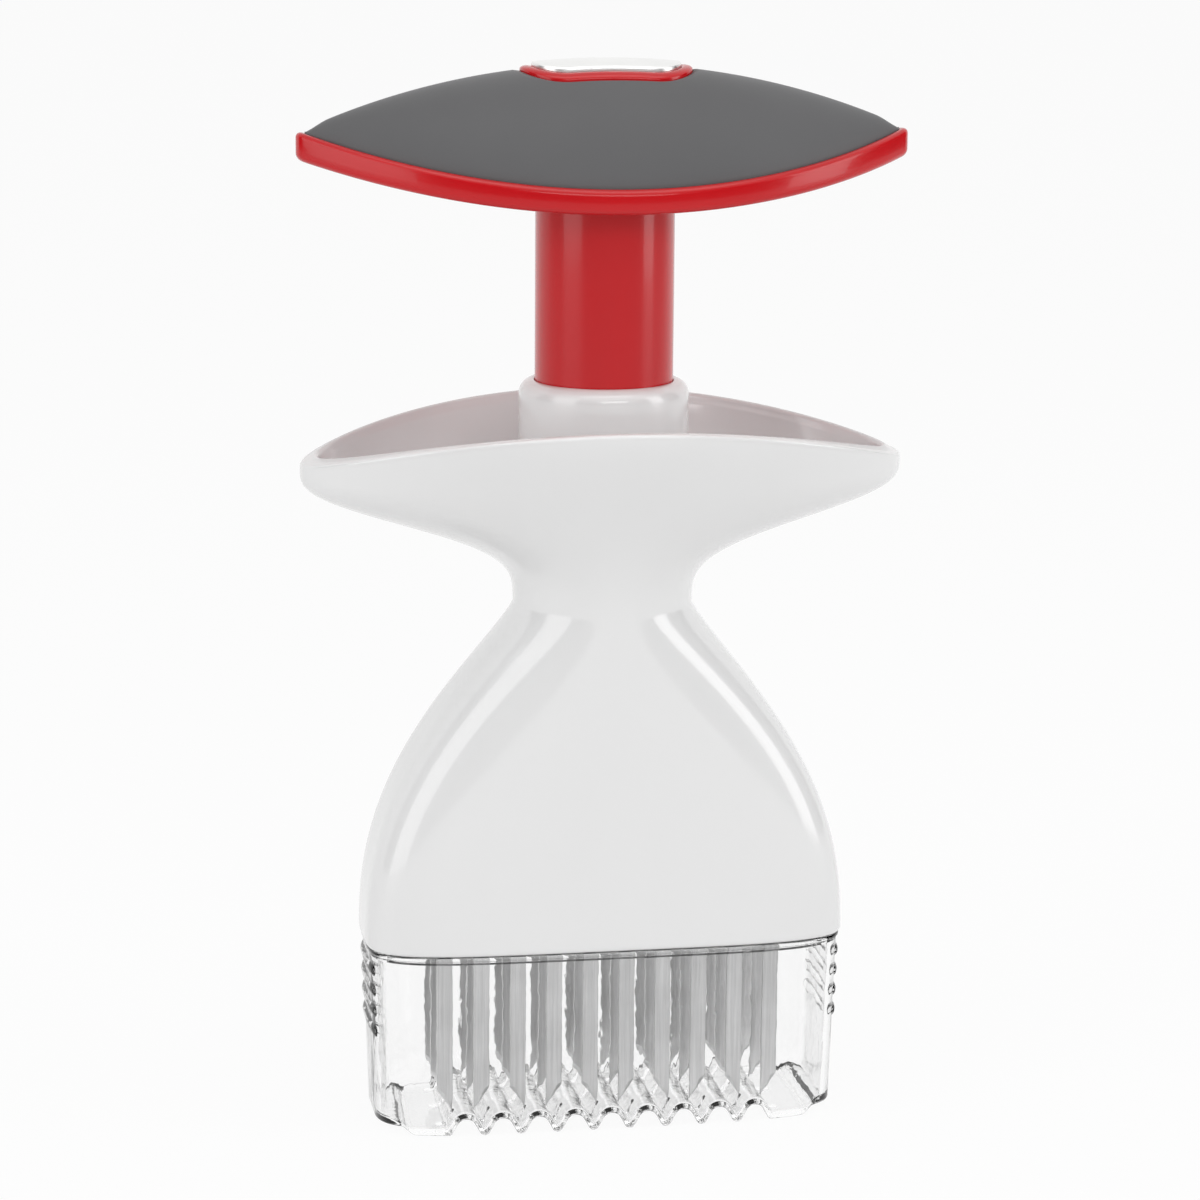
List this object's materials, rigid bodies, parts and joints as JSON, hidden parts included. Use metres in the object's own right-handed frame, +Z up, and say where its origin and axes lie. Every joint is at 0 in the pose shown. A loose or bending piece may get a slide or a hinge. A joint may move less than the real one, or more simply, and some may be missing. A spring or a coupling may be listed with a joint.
{
  "type": "blade meat tenderizer",
  "caption": "Hand-held press with a domed palm head, a flared finger bowl and a clear guard; pressing the head drives rows of flat blades out through the guard.",
  "frame": {"origin": "centre of the guard's feet, on the surface that the tool stands on", "axes": "+X along the wide side, -Y towards the front, +Z up along the plunger"},
  "size_m": [0.1, 0.0502, 0.1763],
  "materials": {
    "white_plastic": "glossy white moulding",
    "white_acetal": "satin white moulding",
    "red_plastic": "glossy red moulding",
    "grey_pad": "soft matte grey skin",
    "silver_badge": "satin silver",
    "clear_plastic": "clear moulding",
    "blade_steel": "ground stainless strip",
    "spring_steel": "plain steel"
  },
  "bodies": {
    "body": {"body_shell": "white_plastic", "rod_bush": "white_acetal", "return_spring": "spring_steel"},
    "plunger": {"upper_spring_seat": "spring_steel", "plunger_tube": "red_plastic", "push_rod": "white_acetal", "head_shell": "red_plastic", "head_base": "red_plastic", "base_screws": "spring_steel", "head_screw": "spring_steel", "palm_pad": "grey_pad", "badge_plate": "silver_badge", "blade_carrier": "white_acetal", "clamp_plate": "white_acetal", "carrier_screws": "spring_steel", "rod_screw": "spring_steel", "blade_front_01": "blade_steel", "blade_front_02": "blade_steel", "blade_front_03": "blade_steel", "blade_front_04": "blade_steel", "blade_front_05": "blade_steel", "blade_front_06": "blade_steel", "blade_front_07": "blade_steel", "blade_front_08": "blade_steel", "blade_front_09": "blade_steel", "blade_front_10": "blade_steel", "blade_middle_01": "blade_steel", "blade_middle_02": "blade_steel", "blade_middle_03": "blade_steel", "blade_middle_04": "blade_steel", "blade_middle_05": "blade_steel", "blade_middle_06": "blade_steel", "blade_middle_07": "blade_steel", "blade_middle_08": "blade_steel", "blade_middle_09": "blade_steel", "blade_middle_10": "blade_steel", "blade_back_01": "blade_steel", "blade_back_02": "blade_steel", "blade_back_03": "blade_steel", "blade_back_04": "blade_steel", "blade_back_05": "blade_steel", "blade_back_06": "blade_steel", "blade_back_07": "blade_steel", "blade_back_08": "blade_steel", "blade_back_09": "blade_steel", "blade_back_10": "blade_steel"},
    "guard": {"guard": "clear_plastic"}
  },
  "joints": [
    {"name": "plunger_press", "type": "slide", "parent": "body", "child": "plunger", "axis": [0, 0, -1], "range_m": [0, 0.027], "stiffness_N_per_m": 600, "springref_m": -0.01, "deforming": ["return_spring"]},
    {"name": "guard_release", "type": "slide", "parent": "body", "child": "guard", "axis": [0, 0, -1], "range_m": [0, 0.036]}
  ]
}
